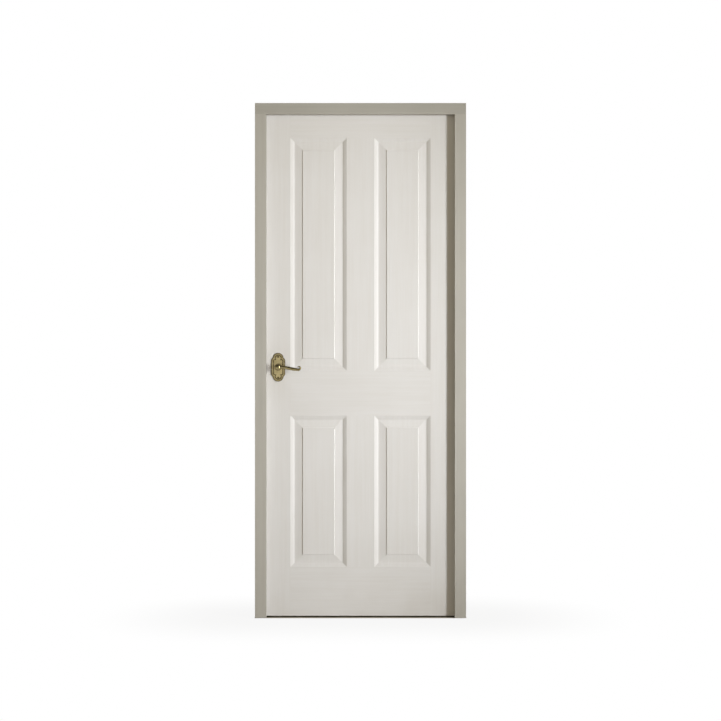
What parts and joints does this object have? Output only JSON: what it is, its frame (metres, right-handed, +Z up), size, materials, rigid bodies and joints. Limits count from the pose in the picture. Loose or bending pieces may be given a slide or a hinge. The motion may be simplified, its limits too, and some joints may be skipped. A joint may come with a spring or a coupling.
{
  "type": "moulded panel door",
  "caption": "White moulded door leaf with raised panels, hung on butt hinges in a rebated grey timber frame, with brass scroll levers and a sprung mortice latch.",
  "frame": {"origin": "on the floor, under the middle of the frame's width and of the leaf's thickness", "axes": "+Z up, +X towards the hinges, -Y towards the viewer of the picture, from whom the leaf opens away"},
  "size_m": [0.828, 0.147, 2.019],
  "materials": {
    "door_paint": "white satin paint on moulded fibreboard and softwood",
    "frame_paint": "stone grey satin paint on softwood",
    "timber": "bare softwood",
    "core_board": "bare honeycomb board",
    "brass": "polished and lacquered",
    "steel": "bright zinc plate"
  },
  "bodies": {
    "frame": {"hinge_jamb": "frame_paint", "latch_jamb": "frame_paint", "head_jamb": "frame_paint", "head_screws": "steel", "strike_plate": "brass", "strike_screws": "brass", "hinge_frame_bottom": "brass", "hinge_frame_middle": "brass", "hinge_frame_top": "brass", "hinge_pin_bottom": "brass", "hinge_pin_middle": "brass", "hinge_pin_top": "brass", "hinge_frame_screws": "brass"},
    "leaf": {"hinge_door_bottom": "brass", "hinge_door_middle": "brass", "hinge_door_top": "brass", "hinge_door_screws": "brass", "front_skin": "door_paint", "back_skin": "door_paint", "hinge_stile": "door_paint", "latch_stile": "door_paint", "top_rail": "door_paint", "bottom_rail": "door_paint", "lock_block": "timber", "honeycomb_core": "core_board", "latch_forend": "brass", "latch_case": "steel", "forend_screws": "brass", "bolt_spring": "steel", "front_backplate": "brass", "rear_backplate": "brass", "front_plate_screws": "brass", "rear_plate_screws": "brass"},
    "levers": {"front_lever": "brass", "rear_lever": "brass", "lever_grub_screws": "steel", "spindle": "steel", "follower": "steel"},
    "bolt": {"latch_bolt": "brass"}
  },
  "joints": [
    {"name": "leaf_swing", "type": "hinge", "parent": "frame", "child": "leaf", "pos_m": [0.3825, 0.023, 1.033], "axis": [0, 0, -1], "range_deg": [0, 170]},
    {"name": "lever_turn", "type": "hinge", "parent": "leaf", "child": "levers", "pos_m": [-0.324, 0, 0.983], "axis": [0, 1, 0], "range_deg": [0, 55], "stiffness_Nm_per_rad": 0.6, "springref_deg": -34.38},
    {"name": "bolt_slide", "type": "slide", "parent": "leaf", "child": "bolt", "axis": [1, 0, 0], "range_m": [0, 0.0096], "deforming": ["bolt_spring"]}
  ],
  "couplings": [
    {"joint": "bolt_slide", "follows": "lever_turn", "m_per_rad": 0.01}
  ]
}
